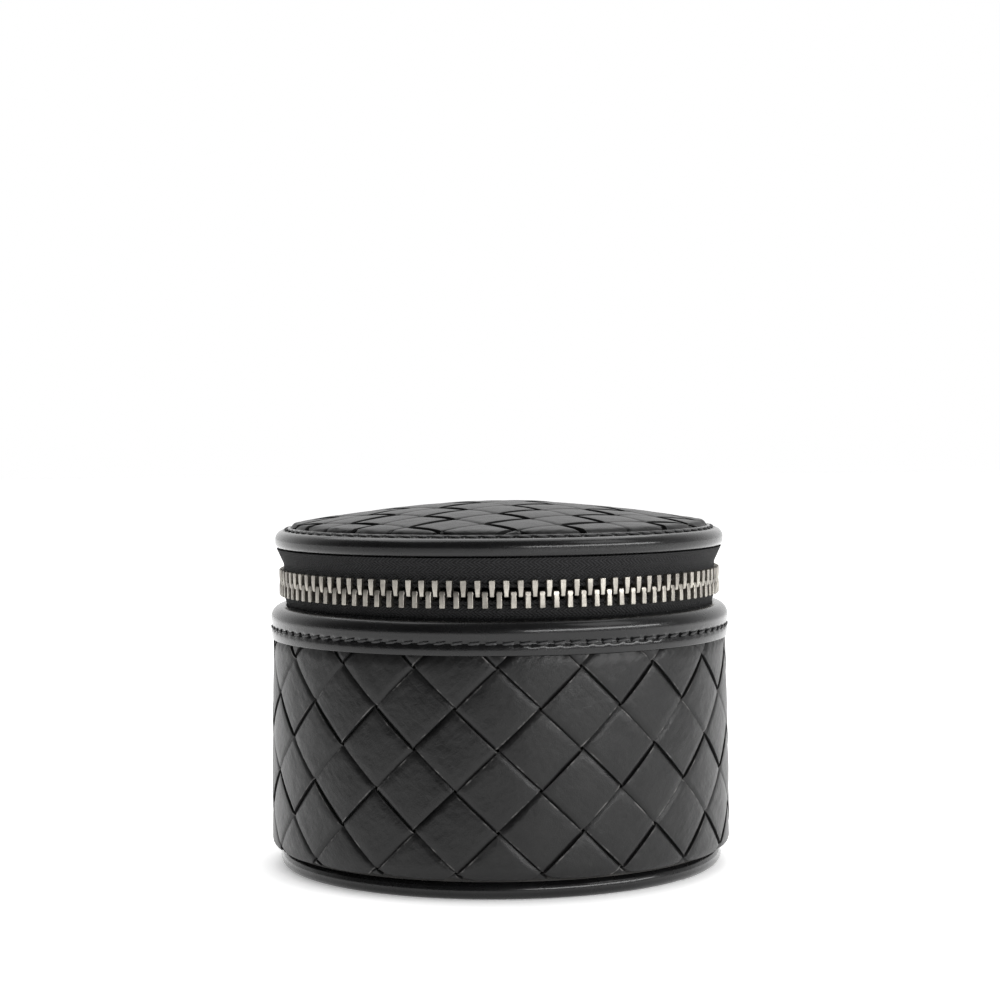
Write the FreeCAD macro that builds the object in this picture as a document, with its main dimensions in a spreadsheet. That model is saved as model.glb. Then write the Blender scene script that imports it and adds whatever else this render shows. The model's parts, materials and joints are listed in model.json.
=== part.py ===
import FreeCAD, Part
import math
import operator
import os
import Sketcher

# A round zipped jewellery case of woven leather, in millimetres. +Z is up, the origin is the
# centre of the base's underside, the front faces -Y and the hinge is at the back, +Y.
# Angles round the case are degrees from the front, growing towards +X.

doc = FreeCAD.newDocument("jewellery_case")
V = FreeCAD.Vector

SHEET = "Sizes"
SIZES = {
    # overall
    "case_radius": 40.0,
    "collar_top": 45.3,
    "chain_above_collar": 3.95,
    "rim_above_chain": 5.9,
    "rim_deep": 3.45,
    "dome_rise": 4.5,
    # layers of the wall, from outside in, and the gap that a glued seam leaves
    "weave_thick": 1.7,
    "wall_board_thick": 1.0,
    "tape_thick": 0.5,
    "lining_thick": 0.8,
    "seam_gap": 0.05,
    # piped edge and base
    "piping_tube": 1.5,
    "piping_cord": 0.9,
    "piping_inset": 1.4,
    "base_leather_thick": 0.9,
    "base_board_thick": 1.5,
    "wall_taper": 0.35,
    "wall_corner": 1.55,
    # folded binding along the wall's top edge
    "collar_drop": 5.8,
    "collar_skin": 0.5,
    "collar_cap": 1.25,
    "collar_round": 1.4,
    # lid
    "rim_inset": 1.2,
    "rim_width": 2.2,
    "rim_skin": 0.8,
    "rim_round": 1.2,
    "lid_board_thick": 1.2,
    "lid_skin": 1.2,
    "lid_edge_drop": 0.9,
    "dome_shoulder": 1.1,
    "lid_lining_thick": 1.5,
    # stitching
    "stitch_long": 1.9,
    "stitch_wide": 0.45,
    "stitch_deep": 0.25,
    "collar_stitches": 90,
    "rim_stitches": 84,
    "stitch_below_top": 3.8,
    "stitch_from_rim": 1.5,
    # zip
    "teeth_per_turn": 104,
    "lower_teeth": 87,
    "first_tooth": -155.77,
    "tooth_reach": 2.3,
    "tooth_overlap": 0.5,
    "tooth_thick": 2.2,
    "leg_wide": 1.08,
    "head_wide": 0.8,
    "head_long": 1.2,
    "teeth_inset": 2.6,
    "bead_radius": 0.45,
    "tape_edge_gap": 0.95,
    "tape_slot_gap": 0.05,
    "tape_reach_down": 9.3,
    "tape_half_turn": 159.6,
    "neck_above_chain": 3.35,
    "stop_wide": 1.6,
    "start_stop_at": -158.2,
    "end_stop_at": 149.0,
    # slider and puller
    "slider_at": 145,
    "slider_long": 8.4,
    "slider_half_high": 3.6,
    "slider_plate": 0.8,
    "slider_gap": 0.2,
    "flange_high": 0.9,
    "flange_gap": 0.25,
    "neck_half_high": 0.8,
    "neck_long": 3.4,
    "bridge_high": 1.7,
    "bridge_thick": 0.7,
    "bridge_wide": 1.6,
    "bridge_span": 4.8,
    "puller_long": 12.4,
    "puller_wide": 4.2,
    "puller_thick": 0.9,
    "puller_bar": 0.9,
    "puller_eye_wide": 2.5,
    "puller_eye_long": 3.9,
    "puller_hole": 0.9,
    # hinge leather
    "hinge_half_turn": 20,
    "hinge_thick": 0.8,
    "hinge_gap": 0.35,
    # inside
    "floor_pad_thick": 3.0,
    "pad_round": 1.0,
    "fit_gap": 0.1,
    "divider_thick": 1.6,
    "divider_top": 34.0,
    "ring_bed_top": 24.0,
    "roll_radius": 5.2,
    "roll_pitch": 10.7,
}

sheet = doc.addObject("Spreadsheet::Sheet", SHEET)
for row, (name, value) in enumerate(SIZES.items(), 1):
    sheet.set(f"A{row}", name)
    sheet.set(f"B{row}", str(value))
    sheet.setAlias(f"B{row}", name)
doc.recompute()


class Size:
    """A size with its value and the sheet expression that gives it, so arithmetic keeps both."""

    def __init__(self, text, value):
        self.text = text
        self.value = value

    def __add__(self, other):
        return combine(self, "+", other)

    def __radd__(self, other):
        return combine(other, "+", self)

    def __sub__(self, other):
        return combine(self, "-", other)

    def __rsub__(self, other):
        return combine(other, "-", self)

    def __mul__(self, other):
        return combine(self, "*", other)

    def __rmul__(self, other):
        return combine(other, "*", self)

    def __truediv__(self, other):
        return combine(self, "/", other)

    def __rtruediv__(self, other):
        return combine(other, "/", self)

    def __neg__(self):
        return 0 - self

    def __float__(self):
        return float(self.value)


SIGNS = {"+": operator.add, "-": operator.sub, "*": operator.mul, "/": operator.truediv}


def as_size(number):
    return number if isinstance(number, Size) else Size(str(number), number)


def combine(first, sign, second):
    first, second = as_size(first), as_size(second)
    return Size(f"({first.text} {sign} {second.text})", SIGNS[sign](first.value, second.value))


def root(square):
    return Size(f"sqrt({square.text})", math.sqrt(square.value))


def size(name):
    return Size(f"{SHEET}.{name}", float(sheet.get(name)))


def put(thing, prop, value):
    """Bind one property to the sheet."""
    thing.setExpression(prop, as_size(value).text)


def origin_part(body, role):
    return next(part for part in body.Origin.OriginFeatures if part.Role == role)


def new_body(label):
    body = doc.addObject("PartDesign::Body", label)
    body.Label = label
    return body


def bend_middle(start, end, radius, side):
    """The point half way along the arc from start to end; side 1 bulges to the right."""
    chord = end - start
    across = V(chord.y, -chord.x, 0).normalize() * side
    rise = radius - math.sqrt(max(radius ** 2 - (chord.Length / 2) ** 2, 0))
    return (start + end) / 2 + across * rise


def outline(body, name, plane, *loops):
    """A sketch of closed loops. A corner is (x, y), or (x, y, radius, side) at an arc's end."""
    sketch = body.newObject("Sketcher::SketchObject", name)
    sketch.AttachmentSupport = (origin_part(body, plane), [""])
    sketch.MapMode = "FlatFace"
    for loop in loops:
        draw_loop(sketch, loop)
    return sketch


def draw_loop(sketch, corners):
    ends = []
    places = [V(float(corner[0]), float(corner[1]), 0) for corner in corners]
    for number, corner in enumerate(corners):
        start, end = places[number - 1], places[number]
        if len(corner) == 2:
            index = sketch.addGeometry(Part.LineSegment(start, end), False)
            ends.append((index, 1, 2))
            continue
        middle = bend_middle(start, end, float(corner[2]), corner[3])
        index = sketch.addGeometry(Part.Arc(start, middle, end), False)
        ends.append((index, 1, 2) if corner[3] > 0 else (index, 2, 1))
        radius = sketch.addConstraint(Sketcher.Constraint("Radius", index, float(corner[2])))
        put(sketch, f"Constraints[{radius}]", corner[2])
    for number, (index, first, last) in enumerate(ends):
        following = ends[(number + 1) % len(ends)]
        sketch.addConstraint(Sketcher.Constraint("Coincident", index, last, following[0], following[1]))
        for kind, value in zip(("DistanceX", "DistanceY"), corners[number]):
            place = Sketcher.Constraint(kind, -1, 1, index, last, float(value))
            put(sketch, f"Constraints[{sketch.addConstraint(place)}]", value)


def hole(sketch, x, y, radius):
    index = sketch.addGeometry(Part.Circle(V(float(x), float(y), 0), V(0, 0, 1), float(radius)), False)
    for kind, value in (("DistanceX", x), ("DistanceY", y)):
        place = Sketcher.Constraint(kind, -1, 1, index, 3, float(value))
        put(sketch, f"Constraints[{sketch.addConstraint(place)}]", value)
    number = sketch.addConstraint(Sketcher.Constraint("Radius", index, float(radius)))
    put(sketch, f"Constraints[{number}]", radius)


def turn(body, name, corners, sweep=360, both_ways=True):
    """Revolve a section, given as radius and height, about the body's upright axis."""
    sketch = outline(body, name + "_section", "XZ_Plane", corners)
    revolution = body.newObject("PartDesign::Revolution", name + "_turn")
    revolution.Profile = sketch
    revolution.ReferenceAxis = (sketch, ["V_Axis"])
    revolution.Midplane = both_ways
    put(revolution, "Angle", sweep)
    return revolution


def pad(body, name, plane, length, *loops):
    """Extrude a section by the same amount to both sides of its plane."""
    sketch = outline(body, name + "_section", plane, *loops)
    extrusion = body.newObject("PartDesign::Pad", name + "_pad")
    extrusion.Profile = sketch
    extrusion.Midplane = True
    put(extrusion, "Length", length)
    return extrusion


def repeat(body, features, count, sweep):
    """Copy features round the upright axis, the last copy lying at the sweep's end."""
    pattern = body.newObject("PartDesign::PolarPattern", body.Name + "_pattern")
    pattern.Originals = features
    pattern.Axis = (origin_part(body, "Z_Axis"), [""])
    put(pattern, "Angle", sweep)
    put(pattern, "Occurrences", count)
    body.Tip = pattern


def face_towards(thing, angle):
    """Turn an object, drawn along +X, to lie at an angle round the case."""
    thing.Placement = FreeCAD.Placement(V(0, 0, 0), FreeCAD.Rotation(V(0, 0, 1), 90))
    put(thing, "Placement.Rotation.Angle", angle - 90)


def turned(label, corners, sweep=360, towards=0):
    body = new_body(label)
    turn(body, label, corners, sweep)
    face_towards(body, as_size(towards))
    return body


def torus(label, ring, tube, height, sweep=360, towards=0):
    ring_shape = doc.addObject("Part::Torus", label)
    put(ring_shape, "Radius1", ring)
    put(ring_shape, "Radius2", tube)
    put(ring_shape, "Angle3", sweep)
    face_towards(ring_shape, towards - as_size(sweep) / 2)
    put(ring_shape, "Placement.Base.z", height)
    return ring_shape


def disc(label, radius, low, thick):
    cylinder = doc.addObject("Part::Cylinder", label)
    put(cylinder, "Radius", radius)
    put(cylinder, "Height", thick)
    put(cylinder, "Placement.Base.z", low)
    return cylinder


def block(label, low, high):
    box = doc.addObject("Part::Box", label)
    for prop, axis, start, end in zip(("Length", "Width", "Height"), "xyz", low, high):
        put(box, prop, as_size(end) - start)
        put(box, f"Placement.Base.{axis}", start)
    return box


def boolean(kind, label, base, tool):
    result = doc.addObject(f"Part::{kind}", label)
    result.Base = base
    result.Tool = tool
    return result


# the sheet's sizes that places are worked out from
gap = size("seam_gap")
case_radius = size("case_radius")
collar_top = size("collar_top")
chain = collar_top + size("chain_above_collar")
rim_low = chain + size("rim_above_chain")
rim_top = rim_low + size("rim_deep")
crown = rim_top + size("dome_rise")

# layers of the wall, from outside in
weave_in = case_radius - size("weave_thick")
board_out = weave_in - gap
board_in = board_out - size("wall_board_thick")
tape_out = board_in - gap
tape_in = tape_out - size("tape_thick")
lining_out = tape_in - gap
cavity = lining_out - size("lining_thick")

# piped edge, with the wall standing on it
piping_tube = size("piping_tube")
piping_ring = case_radius - size("piping_inset") - piping_tube
wall_low = 2 * piping_tube + gap
base_radius = piping_ring - piping_tube - gap
board_low = size("base_leather_thick") + gap
floor = board_low + size("base_board_thick")

# binding and wall top
collar_low = collar_top - size("collar_drop")
wall_top = collar_top - size("collar_cap") - gap
wall_top_radius = case_radius - size("wall_taper")
leg_in = wall_top_radius - size("collar_skin") / 2
stitch_height = collar_top - size("stitch_below_top")

# zip, clamped on the edges of its two tapes
teeth_out = case_radius - size("teeth_inset") + size("tooth_thick") / 2
teeth_mid = teeth_out - size("tooth_thick") / 2
teeth_in = teeth_out - size("tooth_thick")
bead = size("bead_radius")
bead_off = size("tape_edge_gap") + bead
half_tape = size("tape_thick") / 2
tape_turn = 2 * size("tape_half_turn")
tooth_turn = 360 / size("teeth_per_turn")

# lid, inside the rim's folded leather
rim_out = case_radius - size("rim_inset")
rim_in = rim_out - size("rim_width")
rim_skin = size("rim_skin")
tucked_out = rim_out - rim_skin - gap
lid_board_low = rim_low + rim_skin + gap
lid_board_top = lid_board_low + size("lid_board_thick")
tuck_top = rim_top - rim_skin - gap
shoulder = size("dome_shoulder")
dome_edge = rim_in - gap
dome_low = rim_top + size("lid_edge_drop")


def bottom_pieces():
    disc("base_leather", base_radius, 0, size("base_leather_thick"))
    disc("base_board", base_radius, board_low, size("base_board_thick"))
    tube = torus("piping_tube", piping_ring, piping_tube, piping_tube)
    bore = torus("piping_bore", piping_ring, size("piping_cord") + gap, piping_tube)
    boolean("Cut", "piping_leather", tube, bore)
    torus("piping_cord", piping_ring, size("piping_cord"), piping_tube)


def wall_pieces():
    corner = size("wall_corner")
    shaved = leg_in - gap
    turned("woven_wall", [
        (weave_in, wall_low),
        (case_radius - corner, wall_low),
        (case_radius, wall_low + corner, corner, 1),
        (wall_top_radius, collar_low - gap),
        (shaved, collar_low - gap),
        (shaved, wall_top),
        (weave_in, wall_top),
    ])
    turned("wall_board", [
        (board_in, wall_low),
        (board_out, wall_low),
        (board_out, wall_top),
        (board_in, wall_top),
    ])
    turned("wall_lining", [
        (cavity, wall_low),
        (lining_out, wall_low),
        (lining_out, collar_top),
        (cavity, collar_top),
    ])


def collar_pieces():
    half_stitch = size("stitch_wide") / 2 + gap
    groove = leg_in + size("collar_skin") - size("stitch_deep") - gap
    rounding = size("collar_round")
    leg_out = leg_in + size("collar_skin")
    turned("collar", [
        (leg_in, collar_low),
        (leg_out, collar_low),
        (leg_out, stitch_height - half_stitch),
        (groove, stitch_height - half_stitch),
        (groove, stitch_height + half_stitch),
        (leg_out, stitch_height + half_stitch),
        (case_radius, collar_top - rounding),
        (case_radius - rounding, collar_top, rounding, 1),
        (board_in, collar_top),
        (board_in, wall_top + gap),
        (leg_in, wall_top + gap),
    ])
    stitches = new_body("collar_stitching")
    low = stitch_height - size("stitch_wide") / 2
    high = stitch_height + size("stitch_wide") / 2
    stitch = pad(stitches, "collar_stitch", "XZ_Plane", size("stitch_long"), [
        (groove + gap, low),
        (leg_out, low),
        (leg_out, high),
        (groove + gap, high),
    ])
    count = size("collar_stitches")
    repeat(stitches, [stitch], count, 360 - 360 / count)
    face_towards(stitches, as_size(0))


def tape_pieces():
    slanted_from = collar_top + 4 * gap
    edge = chain - bead_off - bead
    slanted_to = chain - size("tooth_reach") + gap
    inner, outer = teeth_mid - half_tape, teeth_mid + half_tape
    turned("zip_tape_lower", [
        (tape_in, collar_top - size("tape_reach_down")),
        (tape_out, collar_top - size("tape_reach_down")),
        (tape_out, slanted_from),
        (outer, slanted_to),
        (outer, edge),
        (inner, edge),
        (inner, slanted_to),
        (tape_in, slanted_from),
    ], tape_turn)
    neck = chain + size("neck_above_chain")
    flange_top = rim_low - gap
    flange_low = flange_top - size("tape_thick")
    flange_in = cavity + 4 * gap
    turned("zip_tape_upper", [
        (inner, chain + bead_off + bead),
        (outer, chain + bead_off + bead),
        (outer, neck),
        (rim_out - 4 * gap, flange_top),
        (flange_in, flange_top),
        (flange_in, flange_low),
        (rim_out - size("tape_thick") - 4 * gap, flange_low),
        (inner, neck),
    ], tape_turn)
    torus("zip_bead_lower", teeth_mid, bead - gap, chain - bead_off, tape_turn)
    torus("zip_bead_upper", teeth_mid, bead - gap, chain + bead_off, tape_turn)


def clamp_section(way):
    """Legs round a tape's edge, below the chain's middle line or, with way -1, above it."""
    slot = half_tape + size("tape_slot_gap")
    pocket = bead + size("tape_slot_gap")
    tail = chain - way * size("tooth_reach")
    pocket_low = chain - way * (bead_off + bead + gap)
    pocket_top = chain - way * (bead_off - bead - size("tape_slot_gap"))
    return [
        (teeth_out, tail),
        (teeth_out, pocket_top + way * gap),
        (teeth_in, pocket_top + way * gap),
        (teeth_in, tail),
        (teeth_mid - slot, tail),
        (teeth_mid - slot, pocket_low),
        (teeth_mid - pocket, pocket_low),
        (teeth_mid - pocket, pocket_top),
        (teeth_mid + pocket, pocket_top),
        (teeth_mid + pocket, pocket_low),
        (teeth_mid + slot, pocket_low),
        (teeth_mid + slot, tail),
    ]


def row_of_teeth(label, way, count, first):
    row_body = new_body(label)
    tip = chain + way * size("tooth_overlap")
    neck = tip - way * size("head_long")
    head = pad(row_body, label + "_head", "XZ_Plane", size("head_wide"), [
        (teeth_in, neck),
        (teeth_out, neck),
        (teeth_out, tip),
        (teeth_in, tip),
    ])
    shank_low = chain - way * (bead_off - bead - size("tape_slot_gap"))
    shank = pad(row_body, label + "_shank", "XZ_Plane", size("leg_wide"), [
        (teeth_in, shank_low),
        (teeth_out, shank_low),
        (teeth_out, neck),
        (teeth_in, neck),
    ])
    legs = pad(row_body, label + "_legs", "XZ_Plane", size("leg_wide"), clamp_section(way))
    repeat(row_body, [head, shank, legs], count, (count - 1) * tooth_turn)
    face_towards(row_body, first)


def pair_of_stops(label, way):
    """A metal stop at each end of one row, the later one where the closed slider rests."""
    stops = new_body(label)
    stop = pad(stops, label + "_clamp", "XZ_Plane", size("stop_wide"), clamp_section(way))
    repeat(stops, [stop], 2, size("end_stop_at") - size("start_stop_at"))
    face_towards(stops, size("start_stop_at"))


def zip_metal():
    count = size("lower_teeth")
    row_of_teeth("zip_teeth_lower", 1, count, size("first_tooth"))
    row_of_teeth("zip_teeth_upper", -1, count - 1, size("first_tooth") + tooth_turn / 2)
    pair_of_stops("zip_stops_lower", 1)
    pair_of_stops("zip_stops_upper", -1)


def slider_pieces():
    outer_low = teeth_out + size("slider_gap")
    outer_top = outer_low + size("slider_plate")
    inner_top = teeth_in - size("slider_gap")
    inner_low = inner_top - size("slider_plate")
    low, high = chain - size("slider_half_high"), chain + size("slider_half_high")
    flange = size("flange_high")
    slot_out = teeth_mid + half_tape + size("flange_gap")
    slot_in = tape_in - size("flange_gap") / 2
    degrees_per_mm = 180 / (math.pi * teeth_mid)
    body = new_body("slider_body")
    turn(body, "slider_neck", [
        (inner_top - gap, chain - size("neck_half_high")),
        (outer_low + gap, chain - size("neck_half_high")),
        (outer_low + gap, chain + size("neck_half_high")),
        (inner_top - gap, chain + size("neck_half_high")),
    ], size("neck_long") * degrees_per_mm, False)
    for name, back, front, lip in (("slider_front", outer_top, outer_low, slot_out),
                                   ("slider_back", inner_low, inner_top, slot_in)):
        turn(body, name, [
            (back, low),
            (lip, low),
            (lip, low + flange),
            (front, low + flange),
            (front, high - flange),
            (lip, high - flange),
            (lip, high),
            (back, high),
        ], size("slider_long") * degrees_per_mm)
    face_towards(body, size("slider_at"))

    half_span = size("bridge_span") / 2
    half_out = half_span + size("bridge_thick")
    foot = root(outer_top * outer_top - half_span * half_span) + gap
    under = outer_top + size("bridge_high")
    over = under + size("bridge_thick")
    bridge = new_body("slider_bridge")
    pad(bridge, "bridge", "XY_Plane", size("bridge_wide"), [
        (foot, -half_out),
        (over, -half_out),
        (over, half_out),
        (foot, half_out),
        (foot, half_span),
        (under, half_span),
        (under, -half_span),
        (foot, -half_span),
    ])
    face_towards(bridge, size("slider_at"))
    put(bridge, "Placement.Base.z", chain)
    return outer_top + size("bridge_high") / 2


def puller_piece(bar_radius):
    """A flat tab whose end bar lies under the bridge; drawn along the chain, away from the front."""
    half = size("puller_wide") / 2
    half_bar = size("puller_bar") / 2
    half_eye = size("puller_eye_wide") / 2
    tip = size("puller_long")
    puller = new_body("puller")
    sketch = outline(puller, "puller_section", "YZ_Plane", [
        (-half_bar, -half),
        (tip - half, -half),
        (tip, 0, half, 1),
        (tip - half, half, half, 1),
        (-half_bar, half),
    ], [
        (half_bar, -half_eye),
        (half_bar, half_eye),
        (half_bar + size("puller_eye_long"), half_eye),
        (half_bar + size("puller_eye_long"), -half_eye),
    ])
    hole(sketch, tip - half, 0, size("puller_hole"))
    tab = puller.newObject("PartDesign::Pad", "puller_pad")
    tab.Profile = sketch
    tab.Midplane = True
    put(tab, "Length", size("puller_thick"))
    angle = size("slider_at")
    face_towards(puller, angle)
    put(puller, "Placement.Base.x", Size(f"({bar_radius.text} * sin({angle.text}))", 0))
    put(puller, "Placement.Base.y", Size(f"(-{bar_radius.text} * cos({angle.text}))", 0))
    put(puller, "Placement.Base.z", chain)


def hinge_pieces():
    inner = rim_out - size("hinge_thick")
    for label, low, high in (("hinge_lower", collar_top + gap, chain - size("hinge_gap")),
                             ("hinge_upper", chain + size("hinge_gap"), rim_low - gap)):
        turned(label, [
            (inner, low),
            (rim_out, low),
            (rim_out, high),
            (inner, high),
        ], 2 * size("hinge_half_turn"), 180)


def dome_radius(reach, rise):
    """The sphere whose cap rises this much over this radius."""
    return (reach * reach + rise * rise) / (2 * rise)


def lid_pieces():
    lining = size("lid_lining_thick")
    lining_round = size("pad_round") / 2
    disc("lid_board", tucked_out, lid_board_low, size("lid_board_thick"))
    lining_low = lid_board_low - gap - lining
    turned("lid_lining", [
        (0, lining_low),
        (cavity - lining_round, lining_low),
        (cavity, lining_low + lining_round, lining_round, 1),
        (cavity, lid_board_low - gap),
        (0, lid_board_low - gap),
    ])

    shoulder_in = dome_edge - shoulder
    rise = crown - dome_low
    skin = size("lid_skin")
    inside_edge = shoulder_in - gap
    turned("woven_lid", [
        (0, crown),
        (shoulder_in, dome_low, dome_radius(shoulder_in, rise), -1),
        (dome_edge, dome_low - shoulder, shoulder, -1),
        (dome_edge, tuck_top),
        (tucked_out, tuck_top),
        (tucked_out, lid_board_top + gap),
        (inside_edge, lid_board_top + gap),
        (inside_edge, dome_low - skin),
        (0, crown - skin, dome_radius(inside_edge, rise), 1),
    ])
    foam_edge = inside_edge - gap
    turned("lid_padding", [
        (0, lid_board_top + gap),
        (foam_edge, lid_board_top + gap),
        (foam_edge, dome_low - skin - gap),
        (0, crown - skin - gap, dome_radius(foam_edge, rise), 1),
    ])


def rim_pieces():
    rounding = size("rim_round")
    groove_mid = rim_in + size("rim_width") - size("stitch_from_rim")
    half_stitch = size("stitch_wide") / 2 + gap
    groove = rim_top - size("stitch_deep") - gap
    turned("lid_rim", [
        (rim_in, rim_low),
        (rim_out - rounding, rim_low),
        (rim_out, rim_low + rounding, rounding, 1),
        (rim_out, rim_top - rounding),
        (rim_out - rounding, rim_top, rounding, 1),
        (groove_mid + half_stitch, rim_top),
        (groove_mid + half_stitch, groove),
        (groove_mid - half_stitch, groove),
        (groove_mid - half_stitch, rim_top),
        (rim_in, rim_top),
        (rim_in, tuck_top + gap),
        (tucked_out + gap, tuck_top + gap),
        (tucked_out + gap, lid_board_low - gap),
        (rim_in, lid_board_low - gap),
    ])
    stitches = new_body("lid_stitching")
    half = size("stitch_wide") / 2
    stitch = pad(stitches, "lid_stitch", "XZ_Plane", size("stitch_long"), [
        (groove_mid - half, groove + gap),
        (groove_mid + half, groove + gap),
        (groove_mid + half, rim_top),
        (groove_mid - half, rim_top),
    ])
    count = size("rim_stitches")
    repeat(stitches, [stitch], count, 360 - 360 / count)
    face_towards(stitches, as_size(0))


def inside_pieces():
    fit = size("fit_gap")
    reach = cavity - fit
    rounding = size("pad_round")
    pad_low = floor + gap
    pad_top = pad_low + size("floor_pad_thick")
    turned("floor_pad", [
        (0, pad_low),
        (base_radius, pad_low),
        (base_radius, wall_low + 2 * gap),
        (reach, wall_low + 2 * gap),
        (reach, pad_top - rounding),
        (reach - rounding, pad_top, rounding, 1),
        (0, pad_top),
    ])

    def round_ended(label, low, high):
        """A block across the cavity, its ends following the round lining."""
        space = disc(label + "_space", reach, low[2], as_size(high[2]) - low[2])
        boolean("Common", label, block(label + "_block", low, high), space)

    thick = size("divider_thick")
    over_pad = pad_top + gap
    round_ended("divider_across", (-case_radius, -thick / 2, over_pad),
                (case_radius, thick / 2, size("divider_top")))
    round_ended("divider_front", (-thick / 2, -case_radius, over_pad),
                (thick / 2, -thick / 2 - gap, size("divider_top")))
    round_ended("ring_bed", (-case_radius, thick / 2 + gap, over_pad),
                (case_radius, case_radius, size("ring_bed_top")))

    roll = size("roll_radius")
    first = thick / 2 + 2 * fit + roll
    for number, place in enumerate(("front", "middle", "back")):
        bar = doc.addObject("Part::Cylinder", f"ring_roll_{place}_bar")
        put(bar, "Radius", roll)
        put(bar, "Height", 2 * case_radius)
        bar.Placement.Rotation = FreeCAD.Rotation(V(0, 1, 0), 90)
        put(bar, "Placement.Base.x", -case_radius)
        put(bar, "Placement.Base.y", first + number * size("roll_pitch"))
        put(bar, "Placement.Base.z", size("ring_bed_top") + gap + roll)
        space = disc(f"ring_roll_{place}_space", reach - fit, 0, collar_top)
        boolean("Common", f"ring_roll_{place}", bar, space)


bottom_pieces()
wall_pieces()
collar_pieces()
tape_pieces()
zip_metal()
puller_piece(slider_pieces())
hinge_pieces()
lid_pieces()
rim_pieces()
inside_pieces()
doc.recompute()

# the sub-parts are the objects that nothing else is made from
failed = [thing.Name for thing in doc.Objects if "Invalid" in thing.State or "Error" in thing.State]
used = {child.Name for thing in doc.Objects if thing.TypeId in ("Part::Cut", "Part::Common")
        for child in (thing.Base, thing.Tool)}
solids = [thing for thing in doc.Objects if thing.Name not in used and (
    thing.TypeId == "PartDesign::Body" or thing.TypeId.startswith("Part::"))]
for thing in solids:
    if thing.Shape.isNull() or not thing.Shape.isValid():
        failed.append(thing.Label)
if failed:
    raise RuntimeError(f"failed objects: {failed}")

os.makedirs("parts", exist_ok=True)
for thing in solids:
    thing.Shape.exportStep(f"parts/{thing.Label}.step")
print(len(solids), "sub-parts written")
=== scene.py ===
import json
import math

import bmesh
import bpy
from mathutils import Matrix, Vector, noise


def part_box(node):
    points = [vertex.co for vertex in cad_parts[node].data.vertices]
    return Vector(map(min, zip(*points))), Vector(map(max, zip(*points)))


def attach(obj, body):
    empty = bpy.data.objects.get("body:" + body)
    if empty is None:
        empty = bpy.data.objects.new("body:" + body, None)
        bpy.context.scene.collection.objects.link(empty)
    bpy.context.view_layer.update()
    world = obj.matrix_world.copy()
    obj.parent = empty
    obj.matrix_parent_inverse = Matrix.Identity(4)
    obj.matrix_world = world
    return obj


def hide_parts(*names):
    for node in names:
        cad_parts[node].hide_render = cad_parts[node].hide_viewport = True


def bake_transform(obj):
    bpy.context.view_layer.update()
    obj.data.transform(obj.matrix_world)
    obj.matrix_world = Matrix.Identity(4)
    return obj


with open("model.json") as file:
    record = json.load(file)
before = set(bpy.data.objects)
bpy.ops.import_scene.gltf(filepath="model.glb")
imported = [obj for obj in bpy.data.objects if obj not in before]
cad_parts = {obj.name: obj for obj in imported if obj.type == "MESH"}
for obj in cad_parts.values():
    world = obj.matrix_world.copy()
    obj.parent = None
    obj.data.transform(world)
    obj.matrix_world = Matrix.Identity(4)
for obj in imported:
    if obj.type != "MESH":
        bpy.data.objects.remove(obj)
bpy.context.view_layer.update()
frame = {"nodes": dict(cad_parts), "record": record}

# a round zipped jewellery case of woven leather, in metres, +Z up, front towards -Y
mm = 0.001
scene = bpy.context.scene


def radiusOf(node):
    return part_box(node)[1].x


def topOf(node):
    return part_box(node)[1].z


# materials


class Wire:
    # a node's output, or a number, that can be used in arithmetic
    def __init__(self, finish, socket):
        self.finish = finish
        self.socket = socket

    def calc(self, operation, *values):
        return self.finish.node("ShaderNodeMath", {"operation": operation}, dict(enumerate(values)))

    def __add__(self, other):
        return self.calc("ADD", self, other)

    def __radd__(self, other):
        return self.calc("ADD", other, self)

    def __sub__(self, other):
        return self.calc("SUBTRACT", self, other)

    def __rsub__(self, other):
        return self.calc("SUBTRACT", other, self)

    def __mul__(self, other):
        return self.calc("MULTIPLY", self, other)

    def __rmul__(self, other):
        return self.calc("MULTIPLY", other, self)

    def __truediv__(self, other):
        return self.calc("DIVIDE", self, other)

    def __pow__(self, other):
        return self.calc("POWER", self, other)

    def wave(self):
        return self.calc("SINE", self)

    def size(self):
        return self.calc("ABSOLUTE", self)

    def part(self):
        return self.calc("FRACT", self)

    def ramp(self, low, high):
        # 0 below low, 1 above high, smooth between
        settings = {"interpolation_type": "SMOOTHSTEP"}
        return self.finish.node("ShaderNodeMapRange", settings, {0: self, 1: low, 2: high})


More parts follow.
